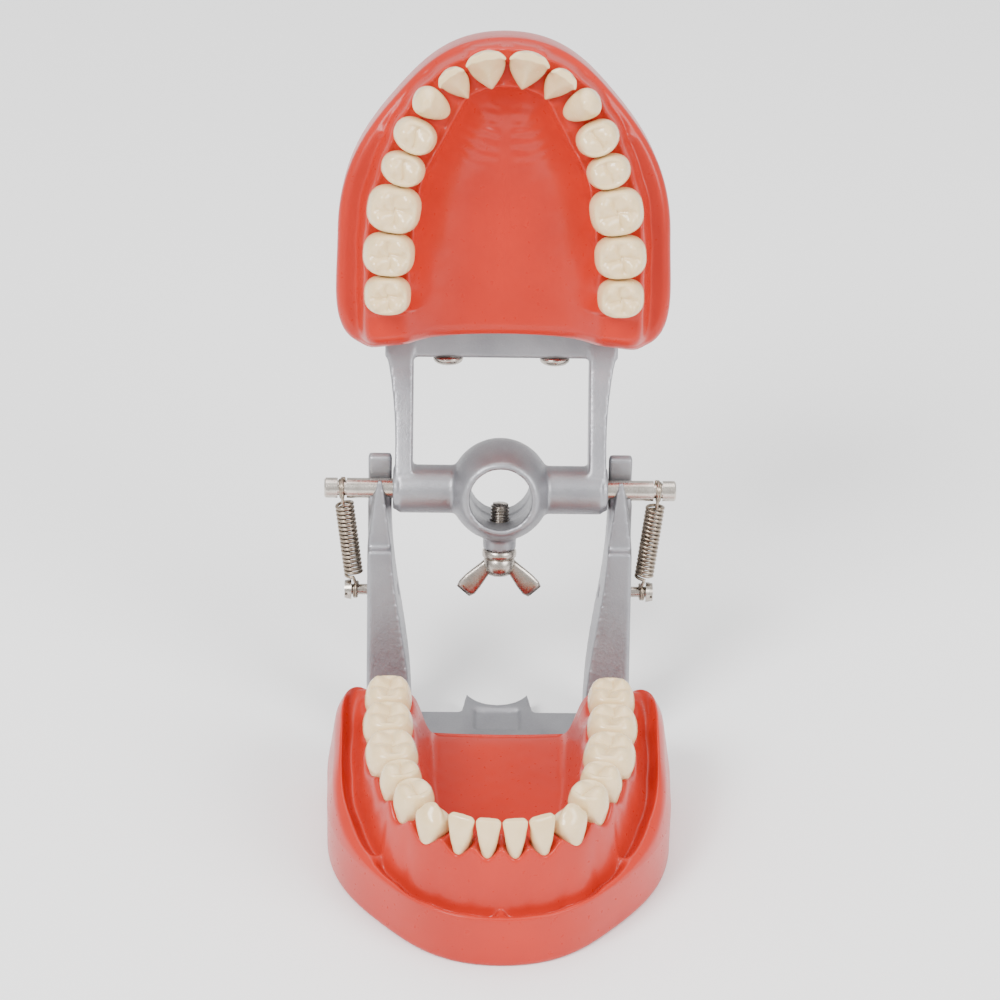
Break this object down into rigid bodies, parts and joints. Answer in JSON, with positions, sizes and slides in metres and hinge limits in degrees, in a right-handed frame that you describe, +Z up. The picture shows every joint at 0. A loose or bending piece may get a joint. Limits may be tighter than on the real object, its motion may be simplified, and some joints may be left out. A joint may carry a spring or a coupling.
{
  "type": "typodont model",
  "caption": "Open dental training model: coral gum jaws with ivory teeth on a cast articulator frame with sprung hinge pins and a rod clamp.",
  "frame": {"origin": "centre of the lower frame plate's underside", "axes": "+X the model's left, -Y the way the incisors face, +Z up from the rest face"},
  "size_m": [0.0724, 0.1301, 0.1445],
  "materials": {
    "tooth": "polished ivory resin",
    "gum_base": "glossy coral-red moulded plastic",
    "gingiva": "glossy coral-red soft plastic",
    "cast_frame": "satin, sand-cast",
    "pin_steel": "turned",
    "spring_wire": "drawn wire",
    "screw_steel": "plated"
  },
  "bodies": {
    "lower_jaw": {"lower_base": "gum_base", "lower_frame": "cast_frame", "lower_gingiva": "gingiva", "lower_jaw_screws": "screw_steel", "lower_left_canine": "tooth", "lower_left_central_incisor": "tooth", "lower_left_first_molar": "tooth", "lower_left_first_premolar": "tooth", "lower_left_lateral_incisor": "tooth", "lower_left_second_molar": "tooth", "lower_left_second_premolar": "tooth", "lower_left_third_molar": "tooth", "lower_right_canine": "tooth", "lower_right_central_incisor": "tooth", "lower_right_first_molar": "tooth", "lower_right_first_premolar": "tooth", "lower_right_lateral_incisor": "tooth", "lower_right_second_molar": "tooth", "lower_right_second_premolar": "tooth", "lower_right_third_molar": "tooth", "lower_tooth_screws": "screw_steel", "left_spring": "spring_wire", "right_spring": "spring_wire", "spring_screws": "screw_steel"},
    "hinge_pins": {"left_hinge_pin": "pin_steel", "right_hinge_pin": "pin_steel"},
    "upper_jaw": {"upper_base": "gum_base", "upper_frame": "cast_frame", "upper_gingiva": "gingiva", "upper_jaw_screws": "screw_steel", "upper_left_canine": "tooth", "upper_left_central_incisor": "tooth", "upper_left_first_molar": "tooth", "upper_left_first_premolar": "tooth", "upper_left_lateral_incisor": "tooth", "upper_left_second_molar": "tooth", "upper_left_second_premolar": "tooth", "upper_left_third_molar": "tooth", "upper_right_canine": "tooth", "upper_right_central_incisor": "tooth", "upper_right_first_molar": "tooth", "upper_right_first_premolar": "tooth", "upper_right_lateral_incisor": "tooth", "upper_right_second_molar": "tooth", "upper_right_second_premolar": "tooth", "upper_right_third_molar": "tooth", "upper_tooth_screws": "screw_steel"},
    "collar": {"clamp_collar": "screw_steel"},
    "wing": {"wing_screw": "screw_steel"}
  },
  "joints": [
    {"name": "pin_float", "type": "slide", "parent": "lower_jaw", "child": "hinge_pins", "axis": [0, 0, 1], "range_m": [0, 0.003], "stiffness_N_per_m": 1500, "springref_m": -0.006, "deforming": ["left_spring", "right_spring"]},
    {"name": "jaw_hinge", "type": "hinge", "parent": "hinge_pins", "child": "upper_jaw", "pos_m": [0, 0.052, 0.0503], "axis": [1, 0, 0], "range_deg": [0, 106.5]},
    {"name": "clamp_feed", "type": "slide", "parent": "upper_jaw", "child": "collar", "axis": [0, -0.284, -0.9588], "range_m": [0, 0.0035]},
    {"name": "clamp_turn", "type": "hinge", "parent": "collar", "child": "wing", "pos_m": [0, 0.052, 0.0503], "axis": [0, -0.284, -0.9588], "range_deg": [0, 1800]}
  ],
  "couplings": [
    {"joint": "clamp_turn", "follows": "clamp_feed", "rad_per_m": 8976}
  ]
}
